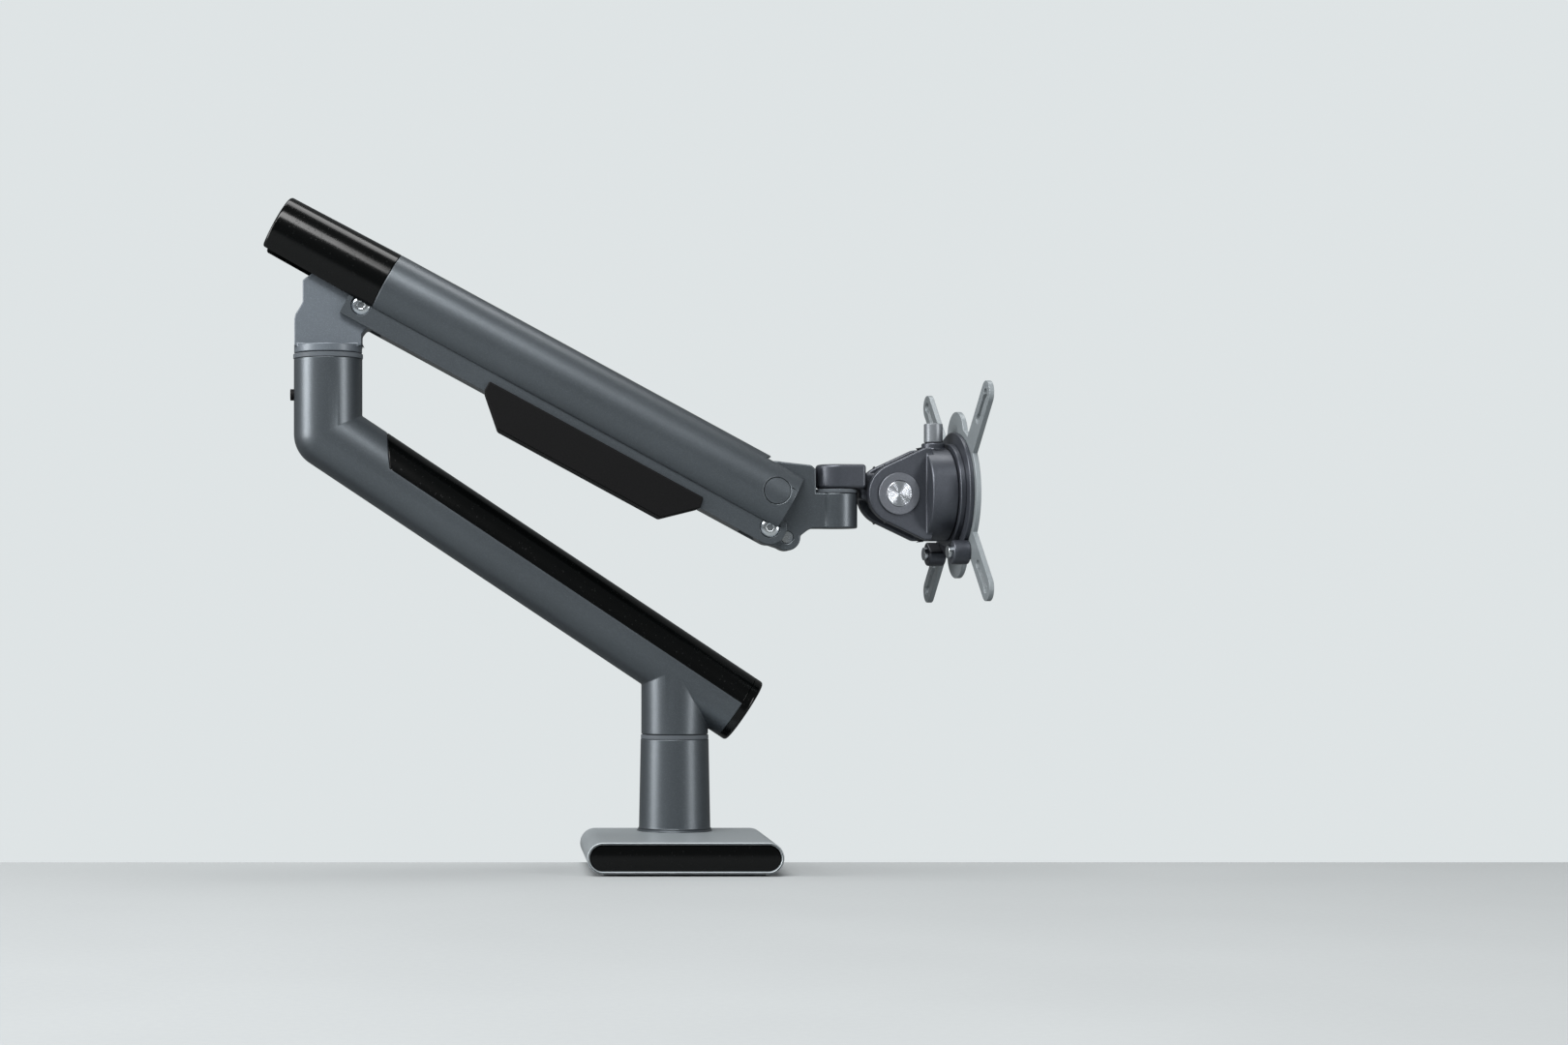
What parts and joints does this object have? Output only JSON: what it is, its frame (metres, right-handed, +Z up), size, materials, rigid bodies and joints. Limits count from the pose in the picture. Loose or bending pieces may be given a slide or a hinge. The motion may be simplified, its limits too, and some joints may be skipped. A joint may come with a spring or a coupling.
{
  "type": "monitor arm",
  "caption": "Desk-clamped monitor arm: swivelling lower arm, spring-balanced parallelogram upper arm, wrist, tilting head and turning screen plate.",
  "frame": {"origin": "the column's axis on the underside of the foot's pad, where it rests on the desk", "axes": "+X to the right along the rear edge of the desk, +Y away from the user, +Z up; both arms lie in the plane Y=0 at rest"},
  "size_m": [0.3752, 0.1509, 0.4902],
  "materials": {
    "dark_paint": "dark metallic grey satin paint",
    "base_paint": "grey satin paint",
    "bracket_paint": "grey powder-coated steel",
    "plate_paint": "light grey satin paint",
    "gloss_black": "glossy black plastic",
    "matte_black": "matte black plastic",
    "acetal": "natural acetal",
    "rubber": "black rubber",
    "steel": "bright zinc-plated steel",
    "spun": "spun metal",
    "brass": "turned brass",
    "spring_steel": "dark spring steel"
  },
  "bodies": {
    "foot": {"base_housing": "base_paint", "base_pad": "rubber", "front_cover": "gloss_black", "rear_cover": "gloss_black", "pole": "dark_paint", "pole_screws": "steel", "swivel_spindle": "steel", "stop_pin": "steel", "pole_washer": "acetal", "clamp_bracket": "bracket_paint", "bracket_screws": "steel"},
    "clamp_pad": {"clamp_pad": "steel", "clamp_pad_rubber": "rubber"},
    "clamp_screw": {"clamp_screw": "steel", "clamp_knob": "matte_black"},
    "lower_arm": {"lower_arm_tube": "dark_paint", "lower_cable_cover": "gloss_black", "lower_end_cap": "gloss_black", "lower_bush": "acetal", "elbow_bush": "acetal", "elbow_washer": "acetal", "elbow_plug": "matte_black"},
    "turret": {"elbow_bracket": "dark_paint", "elbow_spindle": "steel", "rear_pivot_bush": "brass"},
    "upper_arm": {"upper_arm_tube": "dark_paint", "arm_sleeve": "gloss_black", "rear_pivot_pin": "steel", "front_pivot_pin": "steel", "front_pivot_caps": "dark_paint", "main_spring": "spring_steel"},
    "spring_piston": {"spring_piston": "steel"},
    "tension_nut": {"tension_nut": "steel"},
    "tension_screw": {"tension_screw": "steel"},
    "link": {"link_channel": "dark_paint", "link_screws": "steel", "drive_lug": "brass", "cable_clip": "matte_black"},
    "knuckle": {"front_knuckle": "dark_paint", "front_pivot_bush": "brass", "lobe_pin": "steel", "wrist_washer": "acetal", "wrist_pin": "steel"},
    "wrist": {"wrist_link": "dark_paint"},
    "tilt_head": {"tilt_yoke": "dark_paint", "tilt_bolt": "steel", "tilt_nut": "steel", "tilt_washers": "acetal", "tilt_bolt_ring": "dark_paint", "tilt_bolt_cap": "spun"},
    "lock_tip": {"lock_tip": "brass"},
    "thumb_screw": {"thumb_screw": "spun"},
    "rotor": {"rotor_spindle": "steel", "hub_inner_ring": "dark_paint", "hub_outer_ring": "dark_paint", "latch_lugs": "dark_paint", "latch_screws": "steel", "vesa_plate": "plate_paint"}
  },
  "joints": [
    {"name": "base_swivel", "type": "hinge", "parent": "foot", "child": "lower_arm", "pos_m": [0, 0, 0.0653], "axis": [0, 0, 1], "range_deg": [0, 180]},
    {"name": "elbow_swivel", "type": "hinge", "parent": "lower_arm", "child": "turret", "pos_m": [-0.1821, 0, 0.2648], "axis": [0, 0, 1], "range_deg": [-180, 180]},
    {"name": "arm_tilt", "type": "hinge", "parent": "turret", "child": "upper_arm", "pos_m": [-0.1612, 0, 0.311], "axis": [0, 1, 0], "range_deg": [-52, 9.5], "deforming": ["main_spring"]},
    {"name": "link_tilt", "type": "hinge", "parent": "turret", "child": "link", "pos_m": [-0.1644, 0, 0.292], "axis": [0, 1, 0], "range_deg": [-52.5, 10]},
    {"name": "head_level", "type": "hinge", "parent": "upper_arm", "child": "knuckle", "pos_m": [0.05227, 0, 0.1949], "axis": [0, 1, 0], "range_deg": [-10, 52.5]},
    {"name": "piston_slide", "type": "slide", "parent": "upper_arm", "child": "spring_piston", "axis": [0.8785, 0, -0.4778], "range_m": [-0.0171, 0.0035]},
    {"name": "tension_slide", "type": "slide", "parent": "upper_arm", "child": "tension_nut", "axis": [-0.8785, 0, 0.4778], "range_m": [0, 0.015]},
    {"name": "tension_turn", "type": "hinge", "parent": "upper_arm", "child": "tension_screw", "pos_m": [0.02224, 0, 0.21294], "axis": [0.8785, 0, -0.4778], "range_deg": [-1, 4330]},
    {"name": "wrist_swivel", "type": "hinge", "parent": "knuckle", "child": "wrist", "pos_m": [0.08467, 0, 0.1965], "axis": [0, 0, 1], "range_deg": [-98.5, 81.5]},
    {"name": "head_tilt", "type": "hinge", "parent": "wrist", "child": "tilt_head", "pos_m": [0.11484, 0.00451, 0.1937], "axis": [-0.1478, 0.989, 0], "range_deg": [-60, 45]},
    {"name": "plate_turn", "type": "hinge", "parent": "tilt_head", "child": "rotor", "pos_m": [0.14906, 0.00962, 0.1937], "axis": [0.989, 0.1478, 0], "range_deg": [-90, 90]},
    {"name": "lock_slide", "type": "slide", "parent": "tilt_head", "child": "lock_tip", "axis": [0, 0, 1], "range_m": [0, 0.003]},
    {"name": "thumb_turn", "type": "hinge", "parent": "lock_tip", "child": "thumb_screw", "pos_m": [0.13719, 0.00785, 0.221], "axis": [0, 0, 1], "range_deg": [-1, 1081]},
    {"name": "clamp_slide", "type": "slide", "parent": "foot", "child": "clamp_pad", "axis": [0, 0, 1], "range_m": [-0.035, 0.015]},
    {"name": "clamp_turn", "type": "hinge", "parent": "clamp_pad", "child": "clamp_screw", "pos_m": [0, -0.024, -0.05], "axis": [0, 0, 1], "range_deg": [-6301, 2701]}
  ],
  "couplings": [
    {"joint": "link_tilt", "follows": "arm_tilt", "ratio": 1},
    {"joint": "head_level", "follows": "arm_tilt", "ratio": -1},
    {"joint": "piston_slide", "follows": "arm_tilt", "m_per_rad": 0.018341},
    {"joint": "tension_turn", "follows": "tension_slide", "rad_per_m": 5026.5},
    {"joint": "thumb_turn", "follows": "lock_slide", "rad_per_m": 6283.2},
    {"joint": "clamp_turn", "follows": "clamp_slide", "rad_per_m": 3141.6}
  ]
}
